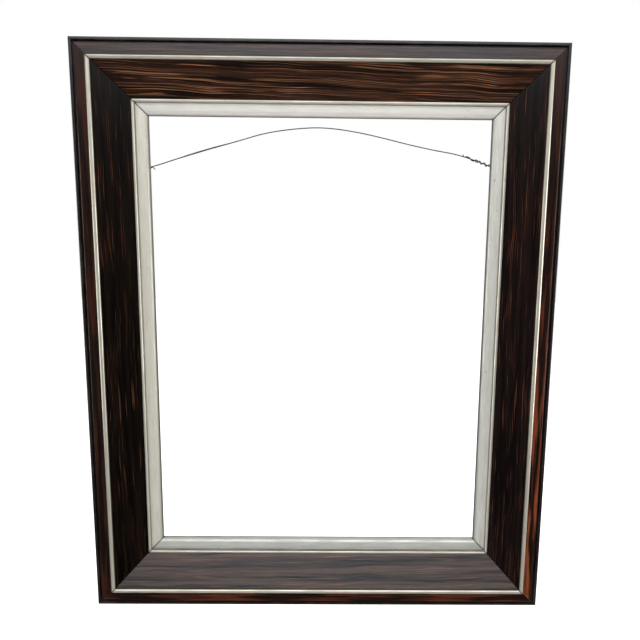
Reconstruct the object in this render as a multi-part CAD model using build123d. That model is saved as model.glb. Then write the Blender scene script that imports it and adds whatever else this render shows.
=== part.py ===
from build123d import *
import math
import os

# A picture frame of veneered wood with silver-leafed beads and a silver-leafed liner,
# hung by a steel wire between two ringed strap hangers on its back.
#
# Millimetres. X runs along the top rail, Z is up, the front faces -Y and the back faces +Y.
# The origin is the middle of the wire, where a wall hook carries the frame.
#
# A moulding's section is drawn with two measures: its inset, from the frame's outer edge
# towards the opening, and its rise, from the plane of the back towards the front.

# ---------------------------------------------------------------- driving dimensions

# The whole frame
frame_width = 612.0
frame_height = 746.0
hang_drop = 95.0  # top of the frame down to the wire's highest point
wire_standoff = 3.2  # plane of the back to the middle of the wire

# Black strip along the outside of the frame
edge_strip_width = 8.2
edge_strip_rise = 35.0
edge_strip_round = 1.6
edge_flat_width = 4.0
quirk_depth = 3.2

# Dark solid band between the strip and the crest
band_width = 13.1
band_rise = 38.9
band_thickness = 6.2
band_fall = 0.7  # how much lower its outer edge is
band_round = 0.8

# Silver half-round bead on the crest
crest_width = 6.1
crest_seat_rise = 37.3

# Veneered panel that slopes in from the crest to the inner bead
face_width = 39.2
face_top_rise = 38.9
face_foot_rise = 17.0
veneer_thickness = 1.2

# Silver bead at the inner edge of the outer moulding
inner_bead_width = 3.6
inner_bead_rise = 18.0
lip_rise = 13.5
lip_thickness = 1.9
core_rabbet_width = 7.0

# Silver liner that closes the frame down to the picture
liner_face_width = 15.1
liner_back_gap = 1.5
liner_clearance = 0.3
liner_lip_width = 6.0
liner_lip_thickness = 7.5
liner_round = 6.0
liner_fall = 0.8

# Fasteners inside the wood
v_nail_leg = 7.0
v_nail_height = 10.0
v_nail_sheet = 0.5
v_nail_insets = (21.0, 47.0)
liner_nail_leg = 5.0
liner_nail_height = 7.0
liner_nail_margin = 2.5
brad_radius = 0.6
brad_bite = 7.0  # length of a brad in the outer moulding
brad_rise = 4.0
brad_corner_gap = 90.0

# Strap hangers, their rings and screws
hanger_inset = 46.0
ring_top_drop = 63.0  # wire's highest point down to the top bar of a ring
ring_wire_radius = 1.0
ring_reach = 13.5
ring_half_width = 8.5
ring_corner_radius = 2.5
ring_clearance = 0.05
strap_sheet = 1.0
strap_width = 11.0
strap_length = 33.0
strap_end_round = 4.0
knuckle_slope = 6.0
screw_radius = 1.75
screw_length = 16.0
screw_tip = 4.0
screw_head_radius = 3.4
screw_head_height = 2.2
screw_slot_width = 0.9
screw_slot_depth = 1.1
screw_hole_gap = 0.2
pilot_gap = 0.05
screw_drops = (11.0, 26.0)

# Hanging wire
wire_radius = 0.7
wire_loop_gap = 0.3
wrap_start = 7.0
wrap_length = 13.0
ring_x = frame_width / 2 - hanger_inset
wire_route = [
    (-259.7, 0.0, -61.4),
    (-224.0, 0.4, -52.9),
    (-190.0, 0.9, -41.6),
    (-150.0, 1.2, -29.0),
    (-112.0, 1.4, -18.9),
    (-74.0, 1.3, -7.4),
    (-37.0, 0.7, -1.9),
    (0.0, 0.0, 0.5),
    (38.0, 0.7, -3.4),
    (76.0, 1.3, -10.7),
    (112.0, 1.4, -19.3),
    (148.0, 1.2, -26.8),
    (184.0, 0.9, -32.6),
    (222.0, 0.4, -46.0),
    (259.7, 0.0, -61.4),
]

# ---------------------------------------------------------------- derived places

back_y = -wire_standoff
top_z = hang_drop
bottom_z = top_z - frame_height
middle_z = top_z - frame_height / 2

crest_inset = edge_strip_width + band_width
face_inset = crest_inset + crest_width
inner_bead_inset = face_inset + face_width
sight_inset = inner_bead_inset + inner_bead_width
rabbet_inset = sight_inset - core_rabbet_width
liner_inset = rabbet_inset + liner_clearance
liner_sight_inset = sight_inset + liner_face_width
picture_inset = liner_sight_inset - liner_lip_width

veneer_drop = veneer_thickness * math.hypot(face_width, face_top_rise - face_foot_rise) / face_width
band_seat_rise = band_rise - band_thickness
crest_top_rise = band_rise + crest_width / 2

knuckle_inner = ring_wire_radius + ring_clearance
knuckle_outer = knuckle_inner + strap_sheet
leg_y = back_y + knuckle_outer
ring_top_z = -ring_top_drop
leg_z = ring_top_z - math.sqrt(ring_reach**2 - leg_y**2)
ring_lean = math.degrees(math.asin(-leg_y / ring_reach))
strap_back_y = back_y + 2 * strap_sheet
loop_radius = ring_wire_radius + wire_loop_gap + wire_radius

side_lengths = {
    "top": frame_width,
    "bottom": frame_width,
    "left": frame_height,
    "right": frame_height,
}
side_places = {
    "top": Location((0, back_y, top_z), (0, 180, 0)),
    "bottom": Location((0, back_y, bottom_z)),
    "left": Location((-frame_width / 2, back_y, middle_z), (0, 90, 0)),
    "right": Location((frame_width / 2, back_y, middle_z), (0, -90, 0)),
}
hanger_signs = {"left": -1, "right": 1}


# ---------------------------------------------------------------- mouldings


def section(*lines):
    """A moulding's section from lines in (inset, rise)."""
    return make_face(Curve() + list(lines))


def mitred_side(outline, side):
    """A moulding run along one side of the frame and mitred at both ends."""
    length = side_lengths[side]
    start = Plane(origin=(-length / 2, 0, 0), x_dir=(0, 0, 1), z_dir=(1, 0, 0))
    left_mitre = Plane(origin=(-length / 2, 0, 0), z_dir=(1, 0, -1))
    right_mitre = Plane(origin=(length / 2, 0, 0), z_dir=(-1, 0, -1))
    run = extrude(start * outline, length)
    run = split(run, bisect_by=left_mitre, keep=Keep.TOP)
    run = split(run, bisect_by=right_mitre, keep=Keep.TOP)
    return side_places[side] * run


def core_section():
    """Softwood core: steps for the strip, band and beads, a slope for the panel, a rabbet behind."""
    return section(
        Polyline(
            (edge_strip_width, 0),
            (edge_strip_width, band_seat_rise),
            (crest_inset, band_seat_rise),
            (crest_inset, crest_seat_rise),
            (face_inset, crest_seat_rise),
            (face_inset, face_top_rise - veneer_drop),
            (inner_bead_inset, face_foot_rise - veneer_drop),
            (inner_bead_inset, lip_rise + lip_thickness),
            (sight_inset, lip_rise + lip_thickness),
            (sight_inset, lip_rise),
            (rabbet_inset, lip_rise),
            (rabbet_inset, 0),
            close=True,
        )
    )


def edge_strip_section():
    """Strip with a rounded outer arris and a sunk quirk beside the band."""
    outline = section(
        Polyline(
            (0, 0),
            (0, edge_strip_rise),
            (edge_flat_width, edge_strip_rise),
            (edge_flat_width, edge_strip_rise - quirk_depth),
            (edge_strip_width, edge_strip_rise - quirk_depth),
            (edge_strip_width, 0),
            close=True,
        )
    )
    arris = outline.vertices().sort_by_distance((0, edge_strip_rise))[0]
    return fillet(arris, edge_strip_round)


def band_section():
    """Solid band, a little lower at its outer edge, with that edge eased."""
    outline = section(
        Polyline(
            (edge_strip_width, band_seat_rise),
            (edge_strip_width, band_rise - band_fall),
            (crest_inset, band_rise),
            (crest_inset, band_seat_rise),
            close=True,
        )
    )
    arris = outline.vertices().sort_by_distance((edge_strip_width, band_rise - band_fall))[0]
    return fillet(arris, band_round)


def crest_section():
    """Half-round bead, stilted so that its round stands clear of the band and the panel."""
    return section(
        Line((crest_inset, band_rise), (crest_inset, crest_seat_rise)),
        Line((crest_inset, crest_seat_rise), (face_inset, crest_seat_rise)),
        Line((face_inset, crest_seat_rise), (face_inset, band_rise)),
        ThreePointArc(
            (face_inset, band_rise),
            ((crest_inset + face_inset) / 2, crest_top_rise),
            (crest_inset, band_rise),
        ),
    )


def face_section():
    """Veneer of the sloping panel."""
    return section(
        Polyline(
            (face_inset, face_top_rise - veneer_drop),
            (face_inset, face_top_rise),
            (inner_bead_inset, face_foot_rise),
            (inner_bead_inset, face_foot_rise - veneer_drop),
            close=True,
        )
    )


def inner_bead_section():
    """Small round bead along the inner edge of the outer moulding."""
    seat = lip_rise + lip_thickness
    shoulder = inner_bead_rise - inner_bead_width / 2
    return section(
        Line((inner_bead_inset, shoulder), (inner_bead_inset, seat)),
        Line((inner_bead_inset, seat), (sight_inset, seat)),
        Line((sight_inset, seat), (sight_inset, shoulder)),
        ThreePointArc(
            (sight_inset, shoulder),
            ((inner_bead_inset + sight_inset) / 2, inner_bead_rise),
            (inner_bead_inset, shoulder),
        ),
    )


def liner_section():
    """Liner: outer part under the frame's lip, sight lip in front of the picture's rabbet."""
    lip_back = lip_rise - liner_lip_thickness - liner_fall
    outline = section(
        Polyline(
            (liner_inset, liner_back_gap),
            (liner_inset, lip_rise),
            (sight_inset, lip_rise),
            (liner_sight_inset, lip_rise - liner_fall),
            (liner_sight_inset, lip_back),
            (picture_inset, lip_back),
            (picture_inset, liner_back_gap),
            close=True,
        )
    )
    arris = outline.vertices().sort_by_distance((liner_sight_inset, lip_rise - liner_fall))[0]
    return fillet(arris, liner_round)


def mouldings():
    """Every moulding of every side, by node name."""
    sections = {
        "core": core_section(),
        "edge_strip": edge_strip_section(),
        "outer_band": band_section(),
        "crest_bead": crest_section(),
        "face_veneer": face_section(),
        "inner_bead": inner_bead_section(),
        "liner": liner_section(),
    }
    pieces = {}
    for side in side_lengths:
        for piece, outline in sections.items():
            pieces[f"{side}_{piece}"] = mitred_side(outline, side)
    return pieces


# ---------------------------------------------------------------- fasteners in the wood


def v_nail(inset, leg, height, rise, x_sign, z_sign):
    """One folded steel nail across a mitre, its legs running along the two sides."""
    corner_x = x_sign * (frame_width / 2 - inset)
    corner_z = middle_z + z_sign * (frame_height / 2 - inset)
    sheet = v_nail_sheet
    middle_y = back_y - rise - height / 2
    along_x = Pos(corner_x - x_sign * leg / 2, middle_y, corner_z) * Box(leg, height, sheet)
    along_z = Pos(corner_x, middle_y, corner_z - z_sign * leg / 2) * Box(sheet, height, leg)
    knee = Pos(corner_x, middle_y, corner_z) * Box(sheet, height, sheet)
    return along_x + along_z + knee


def corner_signs():
    return [(x_sign, z_sign) for x_sign in (-1, 1) for z_sign in (-1, 1)]


def corner_v_nails():
    nails = []
    for x_sign, z_sign in corner_signs():
        for inset in v_nail_insets:
            nails.append(v_nail(inset, v_nail_leg, v_nail_height, 0, x_sign, z_sign))
    return Compound(children=nails)


def liner_v_nails():
    inset = liner_inset + liner_nail_margin
    nails = []
    for x_sign, z_sign in corner_signs():
        nail = v_nail(inset, liner_nail_leg, liner_nail_height, liner_back_gap, x_sign, z_sign)
        nails.append(nail)
    return Compound(children=nails)


def liner_brads():
    """Headless brads driven from the picture's rabbet through the liner into the core."""
    length = picture_inset - rabbet_inset + brad_bite
    middle_inset = picture_inset - length / 2
    brads = []
    for side, side_length in side_lengths.items():
        reach = side_length / 2 - liner_sight_inset - brad_corner_gap
        for along in (-reach, 0, reach):
            place = side_places[side] * Pos(along, -brad_rise, middle_inset)
            brads.append(place * Cylinder(brad_radius, length))
    return Compound(children=brads)


# ---------------------------------------------------------------- hangers and rings


def screw_points(sign):
    return [(sign * ring_x, leg_z - drop) for drop in screw_drops]


def strap_hanger(sign):
    """Strip of sheet steel folded double round the ring's straight leg and screwed on."""
    x = sign * ring_x
    fold_height = 2 * strap_sheet
    fold_y = back_y + fold_height / 2
    neck_end = leg_z - knuckle_slope - strap_sheet / 2
    knuckle = Pos(leg_y, leg_z) * Circle(knuckle_outer)
    neck = knuckle + Pos(fold_y, neck_end) * Rectangle(fold_height, strap_sheet)
    tail_length = strap_length - knuckle_slope
    tail_z = leg_z - knuckle_slope - tail_length / 2
    tail = Pos(fold_y, tail_z) * Rectangle(fold_height, tail_length)
    outline = make_hull(neck.edges()) + tail
    outline -= Pos(leg_y, leg_z) * Circle(knuckle_inner)
    side_plane = Plane(origin=(x - strap_width / 2, 0, 0), x_dir=(0, 1, 0), z_dir=(1, 0, 0))
    strap = extrude(side_plane * outline, strap_width)
    tail_edges = strap.edges().filter_by(Axis.Y).group_by(Axis.Z)[0]
    strap = fillet(tail_edges, strap_end_round)
    for hole_x, hole_z in screw_points(sign):
        hole = Cylinder(screw_radius + screw_hole_gap, 4 * knuckle_outer, rotation=(90, 0, 0))
        strap -= Pos(hole_x, back_y, hole_z) * hole
    return strap


def ring(sign):
    """D-shaped ring of round wire, its straight leg in the strap's fold and its bow upwards."""
    half = ring_half_width
    corner = ring_corner_radius
    shoulder = ring_reach - half
    corner_middle = corner * math.sqrt(0.5)
    path = Curve() + [
        Line((0, 0, 0), (half - corner, 0, 0)),
        ThreePointArc(
            (half - corner, 0, 0),
            (half - corner + corner_middle, 0, corner - corner_middle),
            (half, 0, corner),
        ),
        Line((half, 0, corner), (half, 0, shoulder)),
        ThreePointArc(
            (half, 0, shoulder),
            (half * math.sqrt(0.5), 0, shoulder + half * math.sqrt(0.5)),
            (0, 0, ring_reach),
        ),
    ]
    wire_end = Plane(origin=(0, 0, 0), z_dir=(1, 0, 0)) * Circle(ring_wire_radius)
    right_half = sweep(wire_end, path=path)
    bent = right_half + mirror(right_half, Plane.YZ)
    return Location((sign * ring_x, leg_y, leg_z), (-ring_lean, 0, 0)) * bent


def screw():
    """Round-head slotted wood screw, its head's seat at the origin and its head towards +Z."""
    shank_length = screw_length - screw_tip
    shank = Pos(0, 0, -shank_length / 2) * Cylinder(screw_radius, shank_length)
    tip = Pos(0, 0, -shank_length - screw_tip / 2) * Cone(0, screw_radius, screw_tip)
    head_ball = (screw_head_radius**2 + screw_head_height**2) / (2 * screw_head_height)
    ball = Pos(0, 0, screw_head_height - head_ball) * Sphere(head_ball)
    above = Pos(0, 0, head_ball) * Box(4 * head_ball, 4 * head_ball, 2 * head_ball)
    slot_top = screw_head_height - screw_slot_depth / 2
    slot = Pos(0, 0, slot_top) * Box(4 * head_ball, screw_slot_width, screw_slot_depth)
    return shank + tip + (ball & above) - slot


def hanger_screws(sign):
    placed = []
    for x, z in screw_points(sign):
        placed.append(Location((x, strap_back_y, z), (-90, 0, 0)) * screw())
    return Compound(children=placed)


def pilot_holes(sign):
    """Holes in the core for one hanger's screws."""
    holes = []
    depth = screw_length
    for x, z in screw_points(sign):
        hole = Cylinder(screw_radius + pilot_gap, depth, rotation=(90, 0, 0))
        holes.append(Pos(x, strap_back_y - depth / 2, z) * hole)
    return holes


# ---------------------------------------------------------------- hanging wire


def route_radii(points):
    """Each bend is as large as its two runs allow."""
    radii = []
    for before, here, after in zip(points, points[1:], points[2:]):
        run_in = Vector(*here) - Vector(*before)
        run_out = Vector(*after) - Vector(*here)
        turn = math.radians(run_in.get_angle(run_out))
        radii.append(0.45 * min(run_in.length, run_out.length) / math.tan(turn / 2))
    return radii


def hanging_wire():
    """The wire between its two end loops, as straight runs joined by tangent arcs."""
    radii = route_radii(wire_route)
    print("wire bend radii:", [round(radius) for radius in radii])
    path = FilletPolyline(*wire_route, radius=radii)
    wire_end = Plane(origin=path @ 0, z_dir=path % 0) * Circle(wire_radius)
    tube = sweep(wire_end, path=path)
    expected = math.pi * wire_radius**2 * path.length
    print(f"wire length {path.length:.1f}, volume {tube.volume:.1f} of {expected:.1f}")
    return tube


def wire_loop(sign):
    """The turn of wire round the top bar of a ring."""
    return Location((sign * ring_x, 0, ring_top_z), (0, 90, 0)) * Torus(loop_radius, wire_radius)


def wire_wrap(first, second):
    """The wire's tail wound round its own first run, as one sleeve."""
    start = Vector(*first)
    direction = (Vector(*second) - start).normalized()
    middle = start + direction * (wrap_start + wrap_length / 2)
    sleeve = Cylinder(3 * wire_radius, wrap_length) - Cylinder(wire_radius, wrap_length)
    return Plane(origin=middle, z_dir=direction) * sleeve


# ---------------------------------------------------------------- build and write

nodes = mouldings()
nodes["corner_v_nails"] = corner_v_nails()
nodes["liner_v_nails"] = liner_v_nails()
nodes["liner_brads"] = liner_brads()
for side, sign in hanger_signs.items():
    for hole in pilot_holes(sign):
        nodes[f"{side}_core"] -= hole
    nodes[f"{side}_strap_hanger"] = strap_hanger(sign)
    nodes[f"{side}_ring"] = ring(sign)
    nodes[f"{side}_hanger_screws"] = hanger_screws(sign)
    nodes[f"{side}_wire_loop"] = wire_loop(sign)
nodes["hanging_wire"] = hanging_wire()
nodes["left_wire_wrap"] = wire_wrap(wire_route[0], wire_route[1])
nodes["right_wire_wrap"] = wire_wrap(wire_route[-1], wire_route[-2])

os.makedirs("parts", exist_ok=True)
for name, shape in nodes.items():
    export_step(shape, f"parts/{name}.step")
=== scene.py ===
import math

import bmesh
import bpy
from mathutils import Matrix, Vector, noise


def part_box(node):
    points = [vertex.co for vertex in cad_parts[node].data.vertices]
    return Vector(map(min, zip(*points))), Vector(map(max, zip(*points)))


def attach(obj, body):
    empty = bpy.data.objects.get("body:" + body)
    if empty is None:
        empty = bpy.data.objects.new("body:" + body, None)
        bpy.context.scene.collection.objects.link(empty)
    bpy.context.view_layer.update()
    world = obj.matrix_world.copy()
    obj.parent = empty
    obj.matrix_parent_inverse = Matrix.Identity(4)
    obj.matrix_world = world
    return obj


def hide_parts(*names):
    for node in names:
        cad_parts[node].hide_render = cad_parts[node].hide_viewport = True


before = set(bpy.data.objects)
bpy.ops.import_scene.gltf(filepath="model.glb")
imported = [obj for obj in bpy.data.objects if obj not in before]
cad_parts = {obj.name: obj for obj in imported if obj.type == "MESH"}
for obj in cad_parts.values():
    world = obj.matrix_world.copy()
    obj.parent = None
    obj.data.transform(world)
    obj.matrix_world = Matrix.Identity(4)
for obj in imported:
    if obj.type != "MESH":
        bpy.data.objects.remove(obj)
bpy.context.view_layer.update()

# A wall-hung picture frame: softwood sides dressed with an ebonised strip, a polished band,
# a silver bead, a streaked veneer panel and a second small bead, closed by a silver liner.
# Sections follow the order in which it is put together; sizes called mm are millimetres.

MM = 0.001


# ------------------------------------------------------------- camera, daylight and floor
# The frame hangs at eye level and is seen from close by, a little above its middle.
# Light comes from a broad pale window above and in front; below, the room is dim.

camera = bpy.data.objects.new("camera", bpy.data.cameras.new("camera"))
bpy.context.scene.collection.objects.link(camera)
camera.location = (0.01328, -0.7085, -0.1547)
camera.rotation_euler = [math.radians(angle) for angle in (82.402, -0.538, -0.459)]
camera.data.sensor_width = 36
camera.data.lens = 29.35
camera.data.shift_x = -0.0226
camera.data.shift_y = -0.0049
camera.data.clip_start = 0.01
bpy.context.scene.camera = camera
bpy.context.scene.view_settings.view_transform = "Standard"


def colour(hex_value):
    """An sRGB hex value as linear red, green, blue and alpha."""
    channels = [int(hex_value[start : start + 2], 16) / 255 for start in (1, 3, 5)]
    linear = [c / 12.92 if c <= 0.04045 else ((c + 0.055) / 1.055) ** 2.4 for c in channels]
    return (*linear, 1.0)


def add_node(owner, kind, settings):
    """A node in a material or a world, with its settings and inputs.

    An input is a number, a tuple, a hex colour or the output of another node.
    """
    node = owner.node_tree.nodes.new(kind)
    for name, value in settings.items():
        if isinstance(name, str) and hasattr(node, name):
            setattr(node, name, value)
        elif isinstance(value, bpy.types.NodeSocket):
            owner.node_tree.links.new(value, node.inputs[name])
        elif isinstance(value, str):
            node.inputs[name].default_value = colour(value)
        else:
            node.inputs[name].default_value = value
    return node


def new_material(name, **settings):
    """A Principled material with its constant settings; a hex value is a colour."""
    material = bpy.data.materials.new(name)
    material.use_nodes = True
    shader = material.node_tree.nodes["Principled BSDF"]
    for socket, value in settings.items():
        setting = colour(value) if isinstance(value, str) else value
        shader.inputs[socket.replace("_", " ")].default_value = setting
    return material


room = bpy.data.worlds.new("room")
room.use_nodes = True
room.node_tree.nodes.clear()
bpy.context.scene.world = room
direction = add_node(room, "ShaderNodeTexCoord", {}).outputs["Generated"]
direction = add_node(room, "ShaderNodeSeparateXYZ", {0: direction}).outputs
sideways = add_node(room, "ShaderNodeMath", {"operation": "ABSOLUTE", 0: direction["X"]}).outputs[0]
# The window: bright from about 20 degrees up to 55, brightest in front, dim overhead. Each row
# is a part of the direction, where the change starts and ends, and the brightness before and
# after it.
window = [
    (direction["Z"], 0.20, 0.50, 0.015, 3.1),
    (direction["Z"], 0.70, 0.92, 1.0, 0.15),
    (direction["Y"], -0.75, 0.1, 1.0, 0.5),
    (sideways, 0.05, 0.65, 1.0, 0.4),
]
brightness = 1.0
for part, start, end, before, after in window:
    change = add_node(
        room,
        "ShaderNodeMapRange",
        {
            "interpolation_type": "SMOOTHSTEP",
            "Value": part,
            "From Min": start,
            "From Max": end,
            "To Min": before,
            "To Max": after,
        },
    ).outputs[0]
    brightness = add_node(
        room, "ShaderNodeMath", {"operation": "MULTIPLY", 0: brightness, 1: change}
    ).outputs[0]
daylight = add_node(room, "ShaderNodeBackground", {"Color": "#fbfbff", "Strength": brightness})
backdrop = add_node(room, "ShaderNodeBackground", {"Color": "#ffffff", "Strength": 1.0})
seen_directly = add_node(room, "ShaderNodeLightPath", {}).outputs["Is Camera Ray"]
both = add_node(
    room,
    "ShaderNodeMixShader",
    {0: seen_directly, 1: daylight.outputs[0], 2: backdrop.outputs[0]},
)
add_node(room, "ShaderNodeOutputWorld", {"Surface": both.outputs[0]})


def soft_light(name, place, aim, size, power, tint):
    """A rectangular area light at place, turned towards aim."""
    lamp = bpy.data.lights.new(name, "AREA")
    lamp.shape = "RECTANGLE"
    lamp.size, lamp.size_y = size
    lamp.energy = power
    lamp.color = colour(tint)[:3]
    light = bpy.data.objects.new(name, lamp)
    bpy.context.scene.collection.objects.link(light)
    light.location = place
    light.rotation_euler = (Vector(aim) - Vector(place)).to_track_quat("-Z", "Y").to_euler()


frame_middle = (0, 0, -0.28)
soft_light("left side light", (-2.3, -0.5, -0.3), frame_middle, (1.0, 1.5), 24, "#ffffff")
soft_light("right side light", (2.3, -0.5, -0.3), frame_middle, (1.0, 1.5), 28, "#ffffff")
soft_light("back fill", (0.5, 2.2, 0.6), frame_middle, (3.0, 2.4), 34, "#ffffff")

floor_reach = 12.0
floor_height = -1.45
floor_shape = bmesh.new()
bmesh.ops.create_grid(floor_shape, x_segments=1, y_segments=1, size=floor_reach)
bmesh.ops.translate(floor_shape, vec=(0, 0, floor_height), verts=floor_shape.verts)
floor_mesh = bpy.data.meshes.new("floor")
floor_shape.to_mesh(floor_mesh)
floor_shape.free()
floor = bpy.data.objects.new("floor", floor_mesh)
bpy.context.scene.collection.objects.link(floor)
floor.visible_glossy = False

# Matt painted boards in full daylight: no gloss, and pale enough to throw light upwards.
paint = new_material(
    "matt pale floor paint",
    Base_Color="#e9e8e5",
    Roughness=0.9,
    Emission_Color="#ffffff",
    Emission_Strength=0.7,
)
floor_mesh.materials.append(paint)


# ------------------------------------------------------------- hanging wire
# Galvanised steel picture wire, stranded from six thin wires round a seventh. Each end goes
# round the top of a ring and is wound back on the wire: tight at the left, loose at the right.

WIRE = 1.4 * MM
wire_route = [
    (-0.2597, 0.0, -0.0614),
    (-0.2240, 0.0004, -0.0529),
    (-0.1900, 0.0009, -0.0416),
    (-0.1500, 0.0012, -0.0290),
    (-0.1120, 0.0014, -0.0189),
    (-0.0740, 0.0013, -0.0074),
    (-0.0370, 0.0007, -0.0019),
    (0.0, 0.0, 0.0005),
    (0.0380, 0.0007, -0.0034),
    (0.0760, 0.0013, -0.0107),
    (0.1120, 0.0014, -0.0193),
    (0.1480, 0.0012, -0.0268),
    (0.1840, 0.0009, -0.0326),
    (0.2220, 0.0004, -0.0460),
    (0.2597, 0.0, -0.0614),
]
route = bpy.data.curves.new("wire_route", "CURVE")
route.dimensions = "3D"
spline = route.splines.new("NURBS")
spline.points.add(len(wire_route) - 1)
for point, place in zip(spline.points, wire_route):
    point.co = (*place, 1.0)
spline.order_u = 3
spline.use_endpoint_u = True
spline.resolution_u = 40
route_object = bpy.data.objects.new("wire_route", route)
route_mesh = bpy.data.meshes.new_from_object(route_object)
wire_line = [vertex.co.copy() for vertex in route_mesh.vertices]
bpy.data.objects.remove(route_object)


def evenly(line, step):
    """Points at equal steps along a line of points."""
    spaced = [line[0]]
    left = step
    for start, end in zip(line, line[1:]):
        run = (end - start).length
        done = 0.0
        while run - done >= left:
            done += left
            spaced.append(start.lerp(end, done / run))
            left = step
        left -= run - done
    return spaced + [line[-1]]


def frames_along(line):
    """Two directions across the line at each of its points, turning as little as they can."""
    across = []
    side = Vector((0, -1, 0))
    for index in range(len(line)):
        ahead = line[min(index + 1, len(line) - 1)] - line[max(index - 1, 0)]
        ahead.normalize()
        side = (side - ahead * side.dot(ahead)).normalized()
        across.append((side.copy(), ahead.cross(side)))
    return across


def stranded(name, line, lay, opened=None):
    """Six thin wires twisted round a seventh along a line, as one mesh.

    lay is the length of one twist. opened is the x of both ends of a stretch where the
    strands stand a little apart.
    """
    outer_wires = 6
    steps = 12
    most_apart = 0.8
    strand = WIRE / 6
    curve = bpy.data.curves.new(name, "CURVE")
    curve.dimensions = "3D"
    curve.bevel_depth = strand
    curve.bevel_resolution = 1
    curve.use_fill_caps = True
    line = evenly(line, lay / steps)
    across = frames_along(line)
    for number in range(outer_wires + 1):
        ring = 0 if number == outer_wires else 2 * strand
        twisted = curve.splines.new("POLY")
        twisted.points.add(len(line) - 1)
        for index, (middle, (side, up)) in enumerate(zip(line, across)):
            turn = math.tau * (index / steps + number / outer_wires)
            apart = 1.0
            if opened and opened[0] < middle.x < opened[1]:
                into = (middle.x - opened[0]) / (opened[1] - opened[0])
                apart += most_apart * math.sin(math.pi * into)
            place = middle + ring * apart * (math.cos(turn) * side + math.sin(turn) * up)
            twisted.points[index].co = (*place, 1.0)
    curve_object = bpy.data.objects.new(name, curve)
    mesh = bpy.data.meshes.new_from_object(curve_object)
    bpy.data.objects.remove(curve_object)
    mesh.name = name
    mesh.shade_smooth()
    piece = bpy.data.objects.new(name, mesh)
    bpy.context.scene.collection.objects.link(piece)
    return piece


def mottled(material, size, detail=3.0):
    """Even noise about size mm across, fixed to the object."""
    place = add_node(material, "ShaderNodeTexCoord", {}).outputs["Object"]
    return add_node(
        material,
        "ShaderNodeTexNoise",
        {"Vector": place, "Scale": 1 / (size * MM), "Detail": detail},
    ).outputs["Fac"]


def layered(material, ground, *layers):
    """A ground colour with others laid over it, each as (strength, where it lies, colour)."""
    for strength, mask, tone in layers:
        amount = add_node(
            material, "ShaderNodeMath", {"operation": "MULTIPLY", 0: mask, 1: strength}
        ).outputs[0]
        mixed = add_node(
            material, "ShaderNodeMix", {"data_type": "RGBA", 0: amount, 6: ground, 7: tone}
        )
        ground = mixed.outputs[2]
    return ground


def finish(material, base, rough=None, relief=None):
    """Feeds the shader: its colour, its roughness (mask, at 0, at 1) and its relief (mask, mm)."""
    shader = material.node_tree.nodes["Principled BSDF"]
    material.node_tree.links.new(base, shader.inputs["Base Color"])
    if rough:
        mask, low, high = rough
        roughness = add_node(
            material, "ShaderNodeMapRange", {"Value": mask, "To Min": low, "To Max": high}
        )
        material.node_tree.links.new(roughness.outputs[0], shader.inputs["Roughness"])
    if relief:
        mask, depth = relief
        bump = add_node(
            material, "ShaderNodeBump", {"Height": mask, "Strength": 1.0, "Distance": depth * MM}
        )
        material.node_tree.links.new(bump.outputs[0], shader.inputs["Normal"])


# Galvanised steel: a dull grey zinc skin, greyer and rougher in patches from handling.
wire_steel = new_material("galvanised steel wire", Metallic=1.0)
patches = mottled(wire_steel, 6)
skin = layered(wire_steel, "#4e4d4e", (1.0, patches, "#9b9a98"))
finish(wire_steel, skin, rough=(patches, 0.55, 0.35))

# The strands have opened a little at the left; the last step of the line would cut the ring.
hanging_wire = stranded("stranded_wire", wire_line[:-1], lay=9 * MM, opened=(-0.190, -0.118))
hanging_wire.data.materials.append(wire_steel)


def wound_tail(name, ring_top, line, turns):
    """One turn round the ring's bar, then turns on the wire, then a cut end that stands off.

    turns lists how far each turn goes along the wire and how far it stands from it, in mm.
    """
    inward = math.copysign(1, line[1].x - line[0].x)
    tail = []
    loop_steps = 24
    for step in range(loop_steps + 1):
        turn = math.pi / 2 + math.tau * step / loop_steps
        drift = inward * (0.3 - 1.6 * step / loop_steps) * MM
        reach = loop_radius * Vector((0, math.cos(turn), math.sin(turn)))
        tail.append(ring_top + reach + Vector((drift, 0, 0)))
    pace = 0.25
    middles = evenly(line, pace * MM)
    across = frames_along(middles)
    along = 0.6
    turn = math.pi
    turn_steps = 16
    for advance, stand_off in turns:
        for step in range(turn_steps):
            along += advance / turn_steps
            turn += math.tau / turn_steps
            index = min(int(along / pace), len(middles) - 1)
            side, up = across[index]
            reach = (stand_off + WIRE / MM) * MM
            tail.append(middles[index] + reach * (math.cos(turn) * side + math.sin(turn) * up))
    for onward, outward in ((1.6, 1.2), (1.0, 2.2)):
        tail.append(tail[-1] + Vector((inward * onward * MM, 0, 0)) + up * outward * MM)
    piece = stranded(name, tail, lay=8 * MM)
    piece.data.materials.append(wire_steel)
    return piece


ring_bar = 1.0 * MM
loop_radius = ring_bar + 0.3 * MM + WIRE / 2
hook_low, hook_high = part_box("left_ring")
ring_top = Vector(((hook_low.x + hook_high.x) / 2, 0, hook_high.z - ring_bar))
left_turns = [(2.2, 0.5), (1.7, 0.1), (1.6, 0.0), (1.7, 0.0), (1.8, 0.1), (2.4, 0.0), (3.5, 0.1)]
left_turns += [(9.0, 0.0), (14.0, 0.1)]
left_tail = wound_tail("left_wire_tail", ring_top, wire_line, left_turns)
right_turns = [(2.6, 0.4), (3.0, 0.0), (3.5, 0.0), (5.0, 0.0), (6.5, 0.1), (7.0, 0.1)]
right_turns += [(7.0, 0.1), (7.5, 0.3), (7.0, 0.3), (6.5, 0.1), (2.2, 0.0), (1.8, 0.1), (15.0, 0.0)]
ring_top = Vector((-ring_top.x, 0, ring_top.z))
right_tail = wound_tail("right_wire_tail", ring_top, wire_line[::-1], right_turns)

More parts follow.
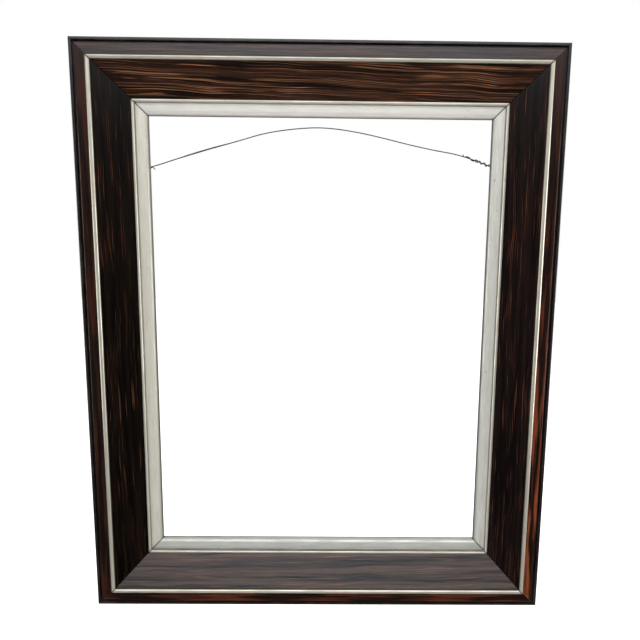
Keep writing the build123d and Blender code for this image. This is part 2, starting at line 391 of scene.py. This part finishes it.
for piece in (hanging_wire, left_tail, right_tail):
    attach(piece, "wire")
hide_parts("hanging_wire")
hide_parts("left_wire_loop", "left_wire_wrap")
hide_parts("right_wire_loop", "right_wire_wrap")


# ------------------------------------------------------------- core
# Four lengths of planed softwood, moulded, mitred, glued and nailed at the corners.
# Only their backs show: pale, yellowed wood with long grain and a few dark handling marks.

low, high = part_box("top_edge_strip")
frame_top = high.z
frame_width = high.x - low.x
frame_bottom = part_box("bottom_edge_strip")[0].z
frame_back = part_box("top_core")[1].y
frame_height = frame_top - frame_bottom
middle = Vector((0, 0, (frame_top + frame_bottom) / 2))
sides = {
    "top": (frame_width, frame_height, 0),
    "right": (frame_height, frame_width, 90),
    "bottom": (frame_width, frame_height, 180),
    "left": (frame_height, frame_width, -90),
}


def extent(piece):
    """A moulding's outer and inner inset and its lowest and highest rise, in mm, from the CAD."""
    lowest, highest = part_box(f"top_{piece}")
    insets = (frame_top - highest.z, frame_top - lowest.z)
    rises = (frame_back - highest.y, frame_back - lowest.y)
    return [value / MM for value in (*insets, *rises)]


def at_corner(vertex, corner):
    inset, rise = corner
    return abs(vertex.co.z + inset) < 1e-5 and abs(vertex.co.y + rise) < 1e-5


def leave_bare(shape, start, end):
    """Gives the second material to the face between two corners of the section."""
    for face in shape.faces:
        reached = [any(at_corner(v, corner) for v in face.verts) for corner in (start, end)]
        if all(reached) and len(face.verts) == 4:
            face.material_index = 1


def round_arris(shape, corner, radius, segments):
    """Rounds the long edge that runs from one corner of the section."""
    arris = []
    for edge in shape.edges:
        lengthwise = edge.verts[0].co.x * edge.verts[1].co.x < 0
        if lengthwise and all(at_corner(v, corner) for v in edge.verts):
            arris.append(edge)
    bmesh.ops.bevel(
        shape,
        geom=arris,
        offset=radius * MM,
        offset_type="OFFSET",
        segments=segments,
        profile=0.5,
        affect="EDGES",
        material=-1,
    )


def cut_mitre(shape, end, length, ease):
    """Saws one end at 45 degrees and eases the sawn edges; end is -1 or 1."""
    cut = bmesh.ops.bisect_plane(
        shape,
        geom=shape.verts[:] + shape.edges[:] + shape.faces[:],
        plane_co=(end * length / 2, 0, 0),
        plane_no=(end, 0, -1),
        clear_outer=True,
    )
    rim = [part for part in cut["geom_cut"] if isinstance(part, bmesh.types.BMEdge)]
    mitre = bmesh.ops.edgeloop_fill(shape, edges=rim)["faces"]
    if ease:
        bmesh.ops.bevel(
            shape,
            geom=[edge for face in mitre for edge in face.edges],
            offset=ease * MM,
            offset_type="OFFSET",
            segments=1,
            profile=0.5,
            affect="EDGES",
            clamp_overlap=True,
            material=-1,
        )


def cut_across(shape, length, spacing):
    """Cuts the faces across, so that a long run can waver."""
    cuts = int(length / spacing)
    for index in range(1, cuts):
        bmesh.ops.bisect_plane(
            shape,
            geom=shape.verts[:] + shape.edges[:] + shape.faces[:],
            plane_co=(length * (index / cuts - 0.5), 0, 0),
            plane_no=(1, 0, 0),
        )


def lay_grain(shape, length, grain, seed):
    """Stores where the grain runs and how far each point is from the nearest mitre."""
    along_grain = shape.loops.layers.uv.new("grain")
    from_mitre = shape.verts.layers.float.new("from_mitre")
    for vertex in shape.verts:
        inset = -vertex.co.z
        vertex[from_mitre] = (length / 2 - abs(vertex.co.x) - inset) / math.sqrt(2)
    for face in shape.faces:
        for loop in face.loops:
            x, y, z = loop.vert.co
            loop[along_grain].uv = (x + seed, -z * grain[0] - y * grain[1])
    return from_mitre


def moulding(name, side, section, rounds=(), grain=(1, 0), ease=0.15, waver=0.0, raw=()):
    """A moulding run along one side of the frame and mitred at both ends.

    section lists corners as (inset, rise), rounds the corners to round with a radius and a
    number of segments, both in mm. grain says how inset and rise add up across the grain.
    waver is how far its surface strays from flat, in mm. raw lists the section's edges, by
    their first corner, that keep their bare wood.
    """
    length, opposite, quarter = sides[side]
    shape = bmesh.new()
    corners = [(inset * MM, rise * MM) for inset, rise in section]
    profile = shape.faces.new(
        [shape.verts.new((-length / 2, -rise, -inset)) for inset, rise in corners]
    )
    run = bmesh.ops.extrude_face_region(shape, geom=[profile])
    far_end = [part for part in run["geom"] if isinstance(part, bmesh.types.BMVert)]
    bmesh.ops.translate(shape, vec=(length, 0, 0), verts=far_end)
    bmesh.ops.recalc_face_normals(shape, faces=shape.faces)
    for index in raw:
        leave_bare(shape, corners[index], corners[(index + 1) % len(corners)])
    for index, radius, segments in rounds:
        round_arris(shape, corners[index], radius, segments)
    for end in (-1, 1):
        cut_mitre(shape, end, length, ease)
    if waver:
        cut_across(shape, length, 18 * MM)
    bmesh.ops.recalc_face_normals(shape, faces=shape.faces)
    seed = 7 * list(sides).index(side)
    from_mitre = lay_grain(shape, length, grain, seed)
    lowest_rise = min(rise for inset, rise in corners)
    for vertex in shape.verts:
        if waver and -vertex.co.y > lowest_rise + 0.1 * MM:
            fade = min(1.0, vertex[from_mitre] / (30 * MM))
            stray = noise.noise((vertex.co.x / (22 * MM), seed, 0))
            vertex.co.y += fade * waver * MM * stray
    turned = Matrix.Rotation(math.radians(quarter), 4, "Y")
    placed = Matrix.Translation(middle + Vector((0, frame_back, 0))) @ turned
    bmesh.ops.translate(shape, vec=(0, 0, opposite / 2), verts=shape.verts)
    bmesh.ops.transform(shape, matrix=placed, verts=shape.verts)
    mesh = bpy.data.meshes.new(name)
    shape.to_mesh(mesh)
    shape.free()
    mesh.shade_smooth()
    mesh.set_sharp_from_angle(angle=math.radians(38))
    piece = bpy.data.objects.new(name, mesh)
    bpy.context.scene.collection.objects.link(piece)
    crisp = piece.modifiers.new("flat faces stay flat", "WEIGHTED_NORMAL")
    crisp.keep_sharp = True
    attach(piece, "frame")
    return piece


def grain_place(material, along, across, shift=(0, 0), warp=None):
    """The grain's own coordinates, scaled so that one unit is along by across mm."""
    place = warp or add_node(material, "ShaderNodeUVMap", {"uv_map": "grain"}).outputs["UV"]
    scale = (1 / (along * MM), 1 / (across * MM), 1)
    return add_node(
        material, "ShaderNodeMapping", {"Vector": place, "Location": (*shift, 0), "Scale": scale}
    ).outputs["Vector"]


def figure(material, along, across, low_edge, high_edge, detail=2.0, shift=(0, 0), warp=None):
    """Long noise along the grain, 0 below low_edge and 1 above high_edge."""
    place = grain_place(material, along, across, shift, warp)
    noisy = add_node(
        material, "ShaderNodeTexNoise", {"Vector": place, "Scale": 1.0, "Detail": detail}
    ).outputs["Fac"]
    return add_node(
        material,
        "ShaderNodeMapRange",
        {
            "interpolation_type": "SMOOTHSTEP",
            "Value": noisy,
            "From Min": low_edge,
            "From Max": high_edge,
        },
    ).outputs[0]


def wavering_grain(material, depth, along, across):
    """Grain coordinates pushed across the grain by up to depth mm, so that lines wander."""
    place = add_node(material, "ShaderNodeUVMap", {"uv_map": "grain"}).outputs["UV"]
    vector = grain_place(material, along, across, warp=place)
    drift = add_node(
        material, "ShaderNodeTexNoise", {"Vector": vector, "Scale": 1.0, "Detail": 1.5}
    ).outputs["Fac"]
    push = add_node(
        material,
        "ShaderNodeMapRange",
        {
            "Value": drift,
            "From Min": 0.25,
            "From Max": 0.75,
            "To Min": -depth * MM,
            "To Max": depth * MM,
        },
    ).outputs[0]
    offset = add_node(material, "ShaderNodeCombineXYZ", {"Y": push}).outputs[0]
    return add_node(
        material, "ShaderNodeVectorMath", {"operation": "ADD", 0: place, 1: offset}
    ).outputs[0]


def near_mitre(material, reach):
    """1 at a mitre, falling to 0 at reach mm from it."""
    distance = add_node(material, "ShaderNodeAttribute", {"attribute_name": "from_mitre"})
    return add_node(
        material,
        "ShaderNodeMapRange",
        {
            "Value": distance.outputs["Fac"],
            "From Min": 0.0,
            "From Max": reach * MM,
            "To Min": 1.0,
            "To Max": 0.0,
        },
    ).outputs[0]


# Planed pine: matt, straight growth lines about 2.5 mm apart, yellowed and a little dirty.
softwood = new_material("planed pine", Roughness=0.8, IOR=1.45)
wander = wavering_grain(softwood, depth=3.0, along=160, across=30)
growth = figure(softwood, 500, 2.5, 0.42, 0.62, warp=wander)
fibres = figure(softwood, 25, 0.5, 0.3, 0.7, detail=3.0, warp=wander)
dirt = figure(softwood, 60, 25, 0.52, 0.78, detail=4.0)
wood = layered(
    softwood,
    "#cfa878",
    (1.0, growth, "#b48a58"),
    (0.35, fibres, "#8b6238"),
    (0.6, dirt, "#6d4d2e"),
)
finish(softwood, wood, relief=(fibres, 0.06))

edge_inset, core_sight, _, _ = extent("core")
strip_outer, strip_inner, _, strip_rise = extent("edge_strip")
band_outer, band_inner, band_seat, band_rise = extent("outer_band")
crest_outer, crest_inner, crest_seat, crest_rise = extent("crest_bead")
face_outer, face_inner, face_low, face_rise = extent("face_veneer")
bead_outer, bead_inner, bead_seat, bead_rise = extent("inner_bead")
liner_outer, liner_inner, liner_back, liner_rise = extent("liner")
# The veneer is 1.2 mm thick square to its face, so a little more straight down.
veneer = 1.2
face_fall = 21.9
face_width = face_inner - face_outer
veneer_drop = veneer * math.hypot(face_width, face_fall) / face_width
face_foot = face_low + veneer_drop
core_rabbet = core_sight - 7.0

core_section = [
    (edge_inset, 0),
    (edge_inset, band_seat),
    (band_inner, band_seat),
    (band_inner, crest_seat),
    (crest_inner, crest_seat),
    (crest_inner, face_rise - veneer_drop),
    (face_inner, face_low),
    (face_inner, bead_seat),
    (bead_inner, bead_seat),
    (bead_inner, liner_rise),
    (core_rabbet, liner_rise),
    (core_rabbet, 0),
]
# The lip's edge over the liner is toned with the beads: greyed silver-coloured size, matt.
lip_tone = new_material("greyed toned lip", Roughness=0.6, IOR=1.45)
grime = figure(lip_tone, 20, 2, 0.3, 0.7, detail=4.0)
finish(lip_tone, layered(lip_tone, "#8d8a7c", (1.0, grime, "#b9b5a5")))
for side in sides:
    core = moulding(f"{side}_pine_core", side, core_section, grain=(1, 1), ease=0, raw=[8])
    core.data.materials.append(softwood)
    core.data.materials.append(lip_tone)
    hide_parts(f"{side}_core")


# ------------------------------------------------------------- edge strip
# A hardwood strip glued round the outside, stained black and waxed. Its top is a narrow flat
# beside a sunk quirk, and handling has rubbed the arrises towards grey.

flat_width = 4.0
quirk_depth = 3.2
quirk_inset = strip_outer + flat_width
quirk_floor = strip_rise - quirk_depth
strip_section = [
    (strip_outer, 0),
    (strip_outer, strip_rise),
    (quirk_inset, strip_rise),
    (quirk_inset, quirk_floor),
    (strip_inner, quirk_floor),
    (strip_inner, 0),
]

# Ebonised wood: black stain with a thin wax gloss, close pores along the grain.
ebonised = new_material(
    "ebonised waxed wood", Roughness=0.30, IOR=1.5, Coat_Weight=0.6, Coat_Roughness=0.2
)
pores = figure(ebonised, 14, 0.6, 0.35, 0.7, detail=3.0)
worn = figure(ebonised, 45, 6, 0.5, 0.8, detail=3.0)
stain = layered(ebonised, "#0e0b0a", (1.0, pores, "#2a221e"), (0.5, worn, "#4c403a"))
finish(ebonised, stain, relief=(pores, 0.05))

strip_rounds = [(1, 1.6, 4), (2, 0.4, 2)]
for side in sides:
    strip = moulding(
        f"{side}_black_strip", side, strip_section, strip_rounds, grain=(1, 1), waver=0.04
    )
    strip.data.materials.append(ebonised)
    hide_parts(f"{side}_edge_strip")


# ------------------------------------------------------------- outer band
# A flat band of dark rosewood-coloured hardwood, French polished. Its grain runs lengthwise,
# nearly black at the top and left, with red-brown heartwood low on the right.

band_fall = 0.7
band_section = [
    (band_outer, band_seat),
    (band_outer, band_rise - band_fall),
    (band_inner, band_rise),
    (band_inner, band_seat),
]
# The right side's heartwood comes in between these two heights.
heart_from = -0.10
heart_full = -0.48
# How much red-brown shows, the ground and its grain, side by side. The top's grain is paler
# and greyer than the others: painted sheen of the light from above, laid over the real grain.
band_tones = {
    "top": (0.08, "#0b0706", "#40322d"),
    "left": (0.10, "#0c0806", "#1b100b"),
    "bottom": (0.25, "#100806", "#24130c"),
    "right": (0.7, "#0d0706", "#22110b"),
}


def polished_band(side):
    """French-polished dark hardwood: clear gloss over close, long red-brown grain."""
    red, ground, brown = band_tones[side]
    material = new_material(f"french polished hardwood {side}", Roughness=0.24, IOR=1.5)
    wander = wavering_grain(material, depth=1.2, along=70, across=10)
    long_grain = figure(material, 90, 2.2, 0.35, 0.68, detail=3.0, warp=wander)
    heart = figure(material, 110, 7, 0.42, 0.62, detail=2.0, warp=wander)
    if side == "right":
        place = add_node(material, "ShaderNodeTexCoord", {}).outputs["Object"]
        height = add_node(material, "ShaderNodeSeparateXYZ", {0: place}).outputs["Z"]
        lower = add_node(
            material,
            "ShaderNodeMapRange",
            {
                "Value": height,
                "From Min": heart_from,
                "From Max": heart_full,
                "To Min": 0.12,
                "To Max": 1.0,
            },
        ).outputs[0]
        heart = add_node(
            material, "ShaderNodeMath", {"operation": "MULTIPLY", 0: heart, 1: lower}
        ).outputs[0]
    fine = figure(material, 22, 0.7, 0.4, 0.75, detail=3.0, warp=wander)
    wood = layered(
        material,
        ground,
        (1.0, long_grain, brown),
        (red, heart, "#8e431f"),
        (0.35, fine, "#0d0807"),
        (1.0, near_mitre(material, 0.5), "#060404"),
    )
    finish(material, wood, relief=(fine, 0.03))
    return material


band_rounds = [(1, 0.8, 3), (2, 0.25, 1)]
for side in sides:
    band = moulding(
        f"{side}_polished_band", side, band_section, band_rounds, grain=(1, 1), waver=0.05
    )
    band.data.materials.append(polished_band(side))
    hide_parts(f"{side}_outer_band")


# ------------------------------------------------------------- crest bead
# A half-round bead, gessoed and covered with toned silver leaf, then burnished. The leaf is
# bright along its crown and dulled where it meets the band and the panel, by dirt and by
# painted shade that darkens its outer flank most at the top and left.

def half_round(outer, inner, seat, crown, segments):
    """The section of a bead as high as half its width, and its two rounded corners."""
    radius = (inner - outer) / 2 - 0.02  # the two rounds stop just short of each other
    section = [(outer, seat), (outer, crown), (inner, crown), (inner, seat)]
    return section, [(1, radius, segments), (2, radius, segments)]


def silver_leaf(name, tones, insets, dirt_and_shade, roughness, metal):
    """Silver leaf over clay: a soft metal shine, toned warm, with dirt and painted shade along its
    edges.

    tones are its bright and toned colours, insets its outer and inner edges, and dirt_and_shade
    the widths of the dirt and painted shade along them, in mm.
    """
    bright, toned = tones
    material = new_material(name, Metallic=metal)
    cloudy = figure(material, 35, 6, 0.3, 0.7, detail=4.0)
    brushed = figure(material, 12, 0.8, 0.3, 0.7, detail=3.0)
    scuffed = figure(material, 9, 5, 0.66, 0.74, detail=5.0)
    place = add_node(material, "ShaderNodeUVMap", {"uv_map": "grain"}).outputs["UV"]
    inset = add_node(material, "ShaderNodeSeparateXYZ", {0: place}).outputs["Y"]
    edges = []
    for start, width in zip(insets, (dirt_and_shade[0], -dirt_and_shade[1])):
        edge = add_node(
            material,
            "ShaderNodeMapRange",
            {
                "interpolation_type": "SMOOTHSTEP",
                "Value": inset,
                "From Min": start * MM,
                "From Max": (start + width) * MM,
                "To Min": 1.0,
                "To Max": 0.0,
            },
        )
        edges.append(edge.outputs[0])
    edging = add_node(
        material, "ShaderNodeMath", {"operation": "MAXIMUM", 0: edges[0], 1: edges[1]}
    ).outputs[0]
    patchy = figure(material, 25, 3, 0.0, 0.40, detail=4.0)
    # The darkening along the edges is partly dirt and partly painted shade, most of all painted
    # shade on the crest's outer flank and the liner's sight edge.
    dirt = add_node(
        material, "ShaderNodeMath", {"operation": "MULTIPLY", 0: edging, 1: patchy}
    ).outputs[0]
    leaf = layered(
        material,
        bright,
        (1.0, cloudy, toned),
        (1.0, dirt, "#38342a"),
        (0.5, scuffed, "#8a7a5c"),
        (1.0, near_mitre(material, 1.3), "#0d0a07"),
    )
    finish(
        material, leaf, rough=(cloudy, roughness - 0.05, roughness + 0.10), relief=(brushed, 0.015)
    )
    return material


# How far the darkening reaches in from the band and from the panel, in mm: dirt, with
# painted shade on the outer flank, widest at the top and left.
crest_dirt_and_shade = {
    "top": (3.8, 0.9),
    "left": (3.2, 0.9),
    "bottom": (1.2, 0.9),
    "right": (1.4, 1.6),
}
crest_section, crest_rounds = half_round(crest_outer, crest_inner, crest_seat, crest_rise, 8)
for side in sides:
    crest = moulding(f"{side}_silver_crest", side, crest_section, crest_rounds, waver=0.03)
    leaf = silver_leaf(
        f"burnished silver leaf {side}",
        tones=("#e3dfcf", "#cdc7b4"),
        insets=(crest_outer, crest_inner),
        dirt_and_shade=crest_dirt_and_shade[side],
        roughness=0.33,
        metal=0.65,
    )
    crest.data.materials.append(leaf)
    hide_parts(f"{side}_crest_bead")


# ------------------------------------------------------------- veneered panel
# Knife-cut ebony veneer, near black with tan and orange streaks, glued to the sloping face.
# Each side is another stretch of the leaf, so the top is busy and the bottom almost plain.

face_section = [
    (face_outer, face_rise - veneer_drop),
    (face_outer, face_rise),
    (face_inner, face_foot),
    (face_inner, face_low),
]
slope = math.atan2(face_rise - face_foot, face_width)
# How much streaking shows, how many degrees the grain lies across, how sparse the groups of
# streaks are, and the ground, the brown bands and the streaks. On the bottom the pale grey-brown
# bands are painted reflection: long soft patches of sheen on its upward-facing slope.
veneer_tones = {
    "top": (0.76, -1.8, 0.33, "#120a06", "#2f1a10", "#8c5c3b"),
    "left": (0.24, 0.8, 0.50, "#040302", "#100905", "#8a4c2a"),
    "bottom": (0.50, 1.0, 0.46, "#0a0605", "#46362f", "#8f6c55"),
    "right": (0.34, 0.5, 0.50, "#0a0606", "#1a0f0c", "#8f4d2c"),
}


def streaked_veneer(side):
    """Polished ebony veneer: satin gloss over wavy, tapering streaks 1 to 2 mm wide."""
    amount, lie, sparse, ground, brown, streak = veneer_tones[side]
    material = new_material(f"polished streaked ebony veneer {side}", Roughness=0.24, IOR=1.43)
    wander = wavering_grain(material, depth=2.0, along=80, across=34)
    wander = add_node(
        material, "ShaderNodeMapping", {"Vector": wander, "Rotation": (0, 0, math.radians(lie))}
    ).outputs[0]
    # Broad bands along the grain; on the bottom they are painted reflection, not wood colour.
    bands_and_sheen = figure(material, 260, 7, 0.38, 0.62, detail=3.0, warp=wander)
    groups = figure(material, 75, 8, sparse, sparse + 0.24, 1.5, shift=(3, 1), warp=wander)
    lines = figure(material, 300, 1.0, 0.50, 0.70, detail=1.0, shift=(8, 3), warp=wander)
    bold = figure(material, 90, 1.7, 0.62, 0.76, detail=2.0, shift=(1, 7), warp=wander)
    grouped = add_node(
        material, "ShaderNodeMath", {"operation": "MULTIPLY", 0: lines, 1: groups}
    ).outputs[0]
    fine = figure(material, 18, 0.6, 0.42, 0.75, detail=3.0, warp=wander)
    wood = layered(
        material,
        ground,
        (1.0, bands_and_sheen, brown),
        (amount, grouped, streak),
        (amount, bold, "#b06a42"),
        (0.4, fine, "#0c0706"),
        (1.0, near_mitre(material, 1.0), "#020101"),
    )
    uneven = figure(material, 60, 2.6, 0.2, 0.8, detail=3.0, warp=wander)
    finish(material, wood, relief=(uneven, 0.10))
    return material


for side in sides:
    panel = moulding(
        f"{side}_veneered_panel",
        side,
        face_section,
        grain=(1 / math.cos(slope), 0),
        ease=0.2,
        waver=0.04,
    )
    panel.data.materials.append(streaked_veneer(side))
    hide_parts(f"{side}_face_veneer")


# ------------------------------------------------------------- inner bead
# A thin silver-leafed bead that finishes the foot of the panel over the liner.

bead_section, bead_rounds = half_round(bead_outer, bead_inner, bead_seat, bead_rise, 6)
for side in sides:
    bead = moulding(
        f"{side}_silver_bead", side, bead_section, bead_rounds, ease=0.1, waver=0.04
    )
    leaf = silver_leaf(
        f"silver leaf bead {side}",
        tones=("#ece8db", "#d6d1c0"),
        insets=(bead_outer, bead_inner),
        dirt_and_shade=(0.5, 0.2),
        roughness=0.33,
        metal=0.6,
    )
    bead.data.materials.append(leaf)
    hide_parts(f"{side}_inner_bead")


# ------------------------------------------------------------- liner
# A flat softwood liner whose face and rounded sight edge are silver leafed and toned; its back
# and its hidden edges are bare wood. It slips into the frame's rabbet from behind.

sight_fall = 0.8
lip_thickness = 7.5
lip_width = 6.0
lip_back = liner_rise - sight_fall - lip_thickness
picture_rabbet = liner_inner - lip_width
sight_rounds = [(3, 6.0, 10)]
# How far the darkening reaches up from the back of the sight edge, in mm, and the leaf's tones.
# The darkening is painted shade over the rounded sight edge, with some dark toning on the riser;
# the tones are lit and shaded copies of one leaf, brightest on top and darkest at the bottom.
sight_shade_and_dirt = {"top": 10.0, "left": 13.0, "bottom": 5.5, "right": 13.0}
sight_leaf_lit_and_shaded = {
    "top": ("#f2f0e8", "#e4e2d8"),
    "left": ("#ebe8da", "#dbd8c7"),
    "bottom": ("#d8d9d0", "#c4c5bb"),
    "right": ("#e9e8df", "#d6d5ca"),
}
liner_section = [
    (liner_outer, liner_back),
    (liner_outer, liner_rise),
    (bead_inner, liner_rise),
    (liner_inner, liner_rise - sight_fall),
    (liner_inner, lip_back),
    (picture_rabbet, lip_back),
    (picture_rabbet, liner_back),
]
for side in sides:
    liner = moulding(
        f"{side}_silver_liner",
        side,
        liner_section,
        sight_rounds,
        grain=(1, -1),
        ease=0.2,
        waver=0.05,
        raw=(0, 4, 5, 6),
    )
    leaf = silver_leaf(
        f"toned silver leaf liner {side}",
        tones=sight_leaf_lit_and_shaded[side],
        insets=(bead_inner - liner_rise, liner_inner - lip_back),
        dirt_and_shade=(1.1, sight_shade_and_dirt[side]),
        roughness=0.40,
        metal=0.45,
    )
    liner.data.materials.append(leaf)
    liner.data.materials.append(softwood)
    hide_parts(f"{side}_liner")


# ------------------------------------------------------------- nails and brads
# Folded steel nails pressed into the backs of the mitres, and headless steel brads driven
# through the liner into the core.

# Bright steel gone dull: grey, with brown rust starting in specks.
nail_steel = new_material("dull bright steel", Metallic=1.0, Roughness=0.4)
rust = add_node(
    nail_steel,
    "ShaderNodeMapRange",
    {"Value": mottled(nail_steel, 1.5, detail=4.0), "From Min": 0.5, "From Max": 0.7},
).outputs[0]
finish(nail_steel, layered(nail_steel, "#9a9a98", (1.0, rust, "#5c3a26")))
for node in ("corner_v_nails", "liner_v_nails", "liner_brads"):
    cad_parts[node].data.materials.clear()
    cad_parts[node].data.materials.append(nail_steel)


# ------------------------------------------------------------- strap hangers, rings, screws
# Two strap hangers of nickel-plated sheet folded round a D ring of plated wire, each fixed to
# the back of its side with two zinc-plated slotted round-head screws.

# Nickel plate over pressed steel: a warm grey metal with fine scratches and dull patches.
nickel = new_material("nickel plated steel", Metallic=1.0)
place = add_node(nickel, "ShaderNodeTexCoord", {}).outputs["Object"]
scratch_scale = (1 / (0.4 * MM), 1 / (4 * MM), 1 / (6 * MM))
place = add_node(nickel, "ShaderNodeMapping", {"Vector": place, "Scale": scratch_scale}).outputs[0]
scratches = add_node(
    nickel, "ShaderNodeTexNoise", {"Vector": place, "Scale": 1.0, "Detail": 4.0}
).outputs["Fac"]
plate = layered(nickel, "#d6d1c5", (1.0, mottled(nickel, 5), "#a39b8b"))
finish(nickel, plate, rough=(scratches, 0.2, 0.42), relief=(scratches, 0.02))

# Zinc plate, passivated yellow: thin yellow-green film over a bright grey metal.
zinc = new_material("yellow zinc plated steel", Metallic=1.0)
film = mottled(zinc, 2.5)
plate = layered(zinc, "#cdb26a", (1.0, film, "#a3a08c"))
finish(zinc, plate, rough=(film, 0.25, 0.45))

for hand in ("left", "right"):
    for node, metal in (("strap_hanger", nickel), ("ring", nickel), ("hanger_screws", zinc)):
        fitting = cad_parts[f"{hand}_{node}"]
        fitting.data.materials.clear()
        fitting.data.materials.append(metal)
